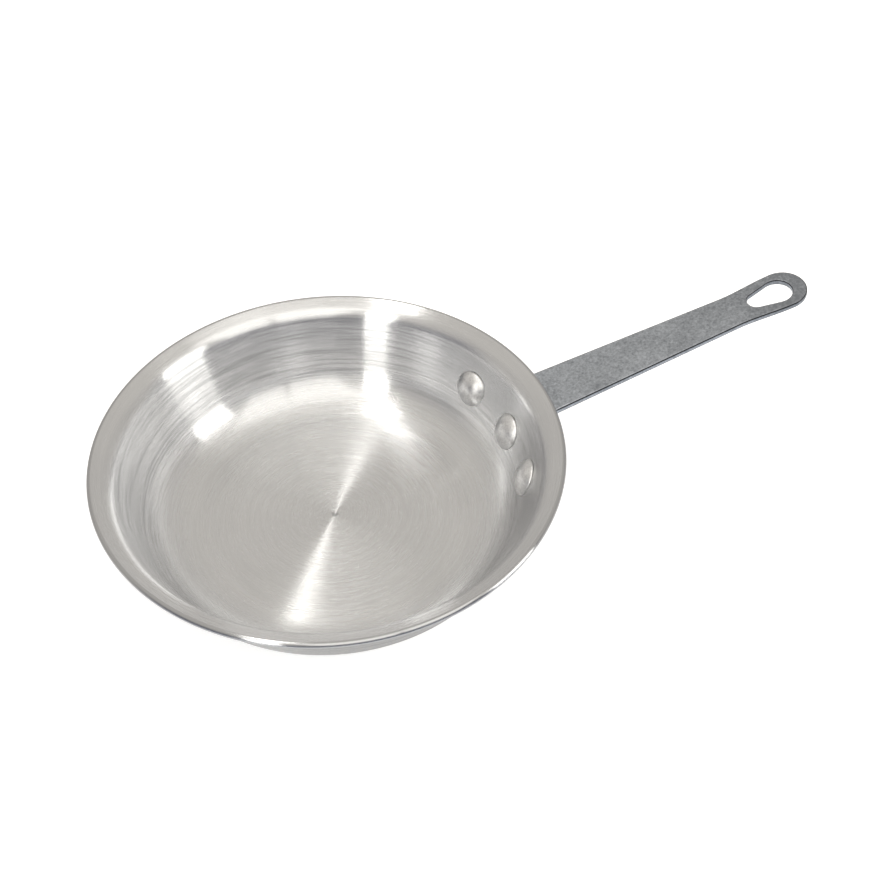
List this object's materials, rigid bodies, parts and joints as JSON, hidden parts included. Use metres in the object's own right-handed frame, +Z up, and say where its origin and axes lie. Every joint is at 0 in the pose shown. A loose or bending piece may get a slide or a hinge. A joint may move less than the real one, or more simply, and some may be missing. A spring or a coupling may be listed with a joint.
{
  "type": "frying pan",
  "caption": "Shallow round aluminium frying pan with a flared lip and a riveted flat steel handle with a hanging hole, for stovetop cooking.",
  "frame": {"origin": "centre of the flat underside of the base, on the table", "axes": "+Z up along the pan's axis, +X along the handle away from the pan"},
  "size_m": [0.3355, 0.2032, 0.0662],
  "materials": {
    "pan_aluminium": "bare, finely turned in circles",
    "handle_steel": "plated, satin with a fine pebble grain",
    "rivet_aluminium": "bare, smooth, slightly hammered"
  },
  "bodies": {
    "root": {"pan_body": "pan_aluminium", "handle": "handle_steel", "rivet_right": "rivet_aluminium", "rivet_middle": "rivet_aluminium", "rivet_left": "rivet_aluminium"}
  },
  "joints": []
}
